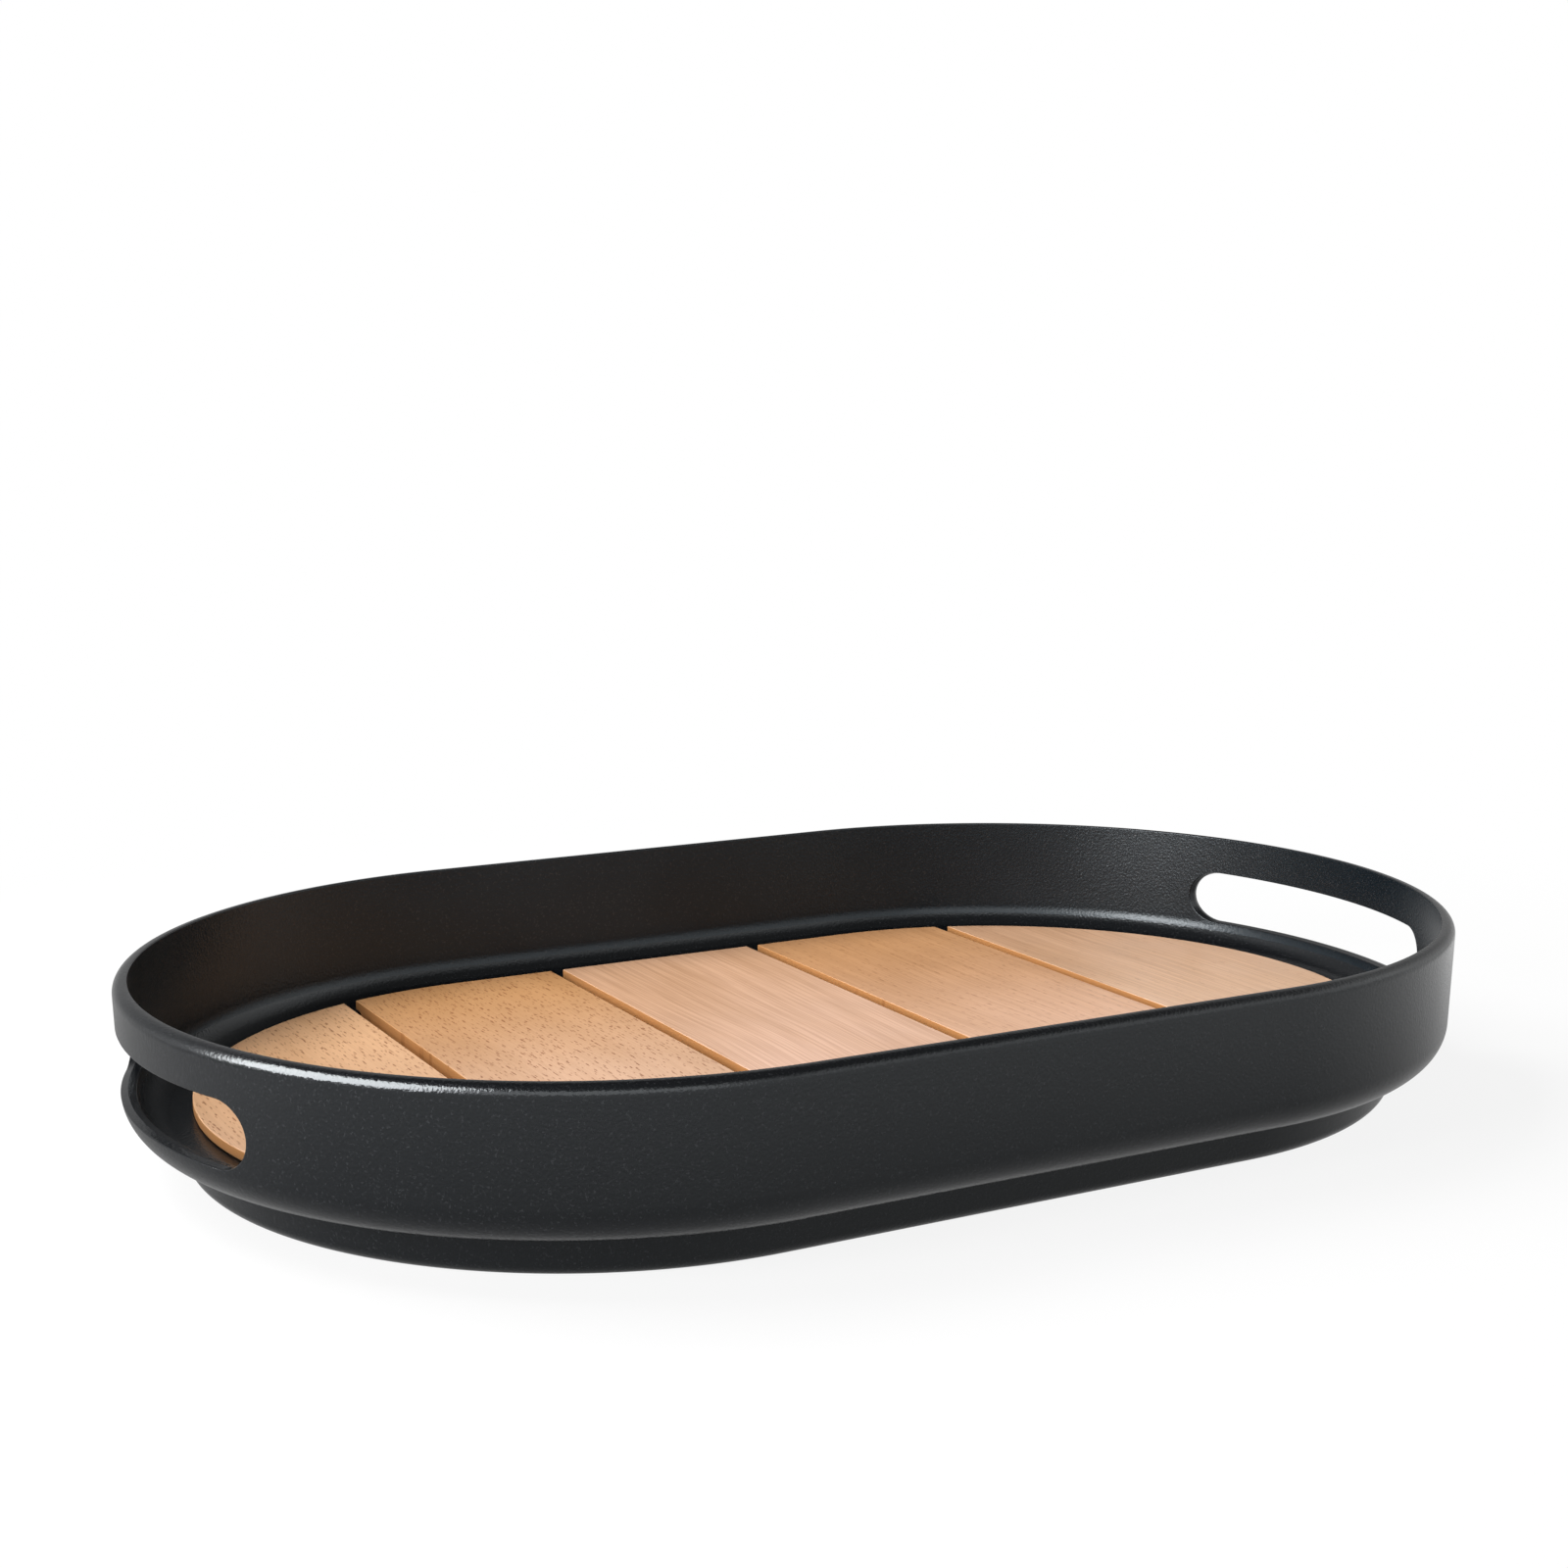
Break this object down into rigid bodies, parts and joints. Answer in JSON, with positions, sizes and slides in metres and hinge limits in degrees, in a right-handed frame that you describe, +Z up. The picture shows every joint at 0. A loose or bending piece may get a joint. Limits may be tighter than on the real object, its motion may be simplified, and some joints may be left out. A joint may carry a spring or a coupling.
{
  "type": "serving tray",
  "caption": "Oval serving tray: black moulded shell with a rounded rim, a long hand slot in each round end and an inset foot, holding a lift-out board of beech slats on an inner ledge.",
  "frame": {"origin": "middle of the tray's footprint, on the surface that it stands on", "axes": "+X along the tray from hand slot to hand slot, +Y across it along the slats, +Z up"},
  "size_m": [0.41, 0.264, 0.053],
  "materials": {
    "black_melamine": "satin moulded melamine with a fine even texture, glossier on the rim",
    "beech": "sanded and lightly oiled beech, grain across the tray, with short dark flecks",
    "bare_beech": "planed, unoiled beech",
    "zinc_steel": "bright zinc plated"
  },
  "bodies": {
    "tray": {"tray_shell": "black_melamine"},
    "board": {"slat_1": "beech", "slat_2": "beech", "slat_3": "beech", "slat_4": "beech", "slat_5": "beech", "batten_front": "bare_beech", "batten_rear": "bare_beech", "screw_front_1": "zinc_steel", "screw_front_2": "zinc_steel", "screw_front_3": "zinc_steel", "screw_front_4": "zinc_steel", "screw_front_5": "zinc_steel", "screw_rear_1": "zinc_steel", "screw_rear_2": "zinc_steel", "screw_rear_3": "zinc_steel", "screw_rear_4": "zinc_steel", "screw_rear_5": "zinc_steel"}
  },
  "joints": [
    {"name": "board_lift", "type": "slide", "parent": "tray", "child": "board", "axis": [0, 0, 1], "range_m": [0, 0.06]}
  ]
}
